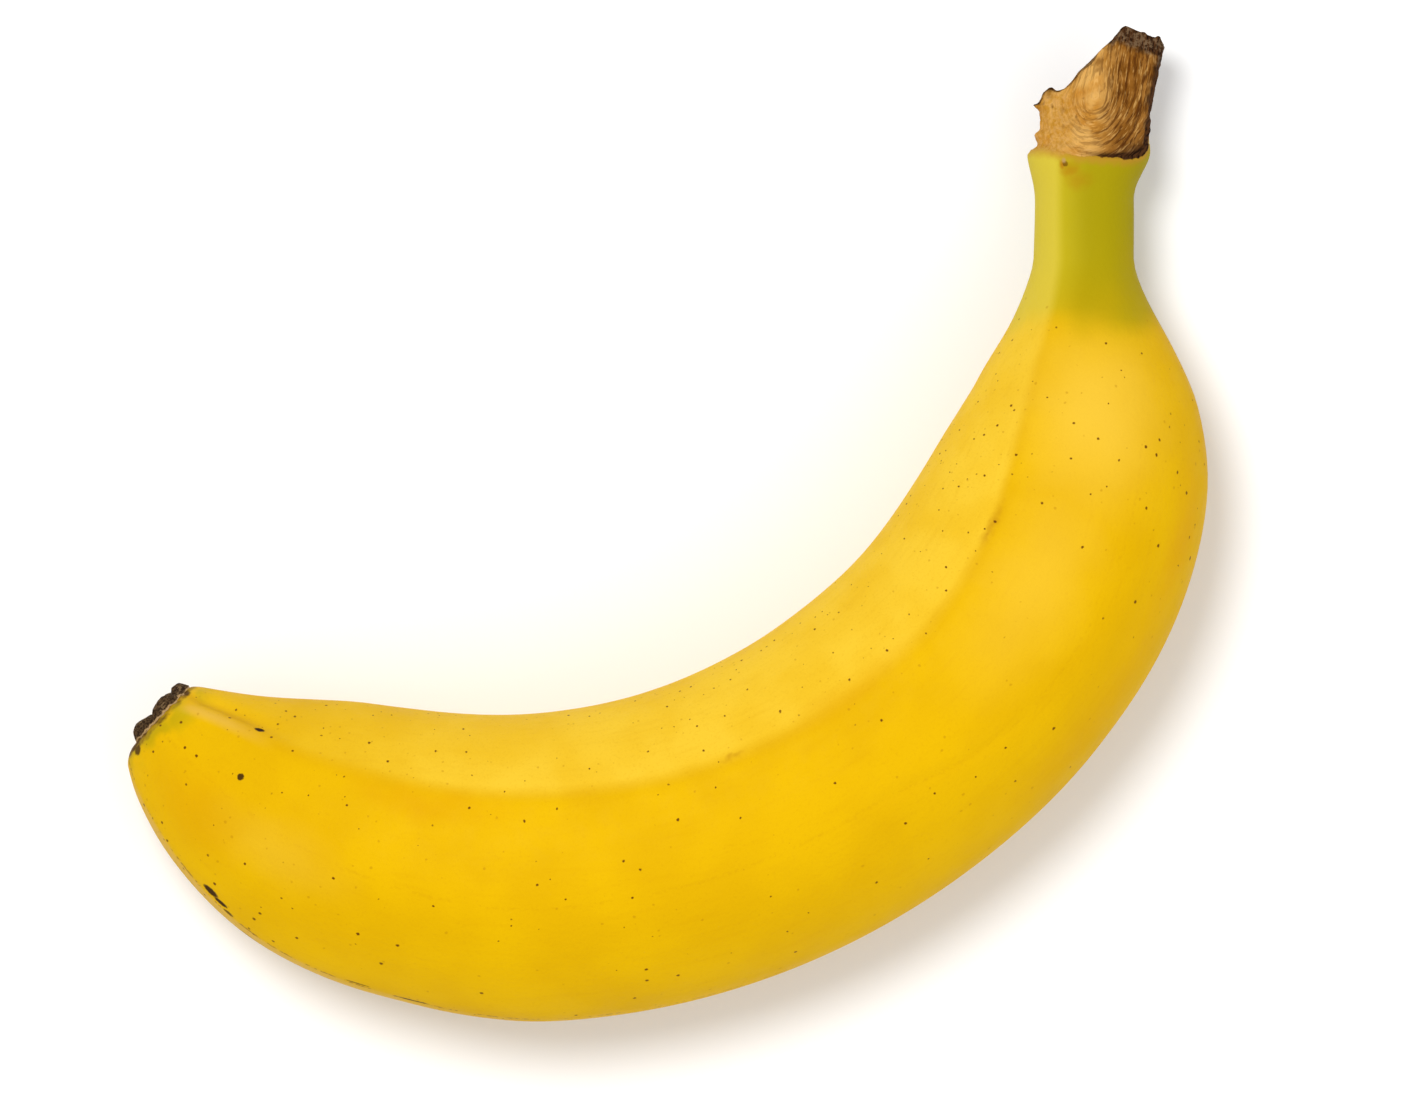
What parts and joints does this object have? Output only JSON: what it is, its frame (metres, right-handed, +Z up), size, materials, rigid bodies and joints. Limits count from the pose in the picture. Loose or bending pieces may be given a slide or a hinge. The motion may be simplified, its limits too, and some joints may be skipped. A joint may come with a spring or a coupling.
{
  "type": "banana",
  "caption": "Whole ripe banana with a torn crown remnant at the stem and a dried blossom end, lying on its side.",
  "frame": {"origin": "on the resting surface, under the middle of the fruit's box", "axes": "+Z up, square to the plane of the fruit's bend; +Y towards the stem; +X away from the tip"},
  "size_m": [0.1318, 0.1212, 0.0354],
  "materials": {
    "peel": "satin ripe yellow peel, green towards the neck and the tip, brown and fibrous on the torn crown"
  },
  "bodies": {
    "root": {"banana": "peel"}
  },
  "joints": []
}
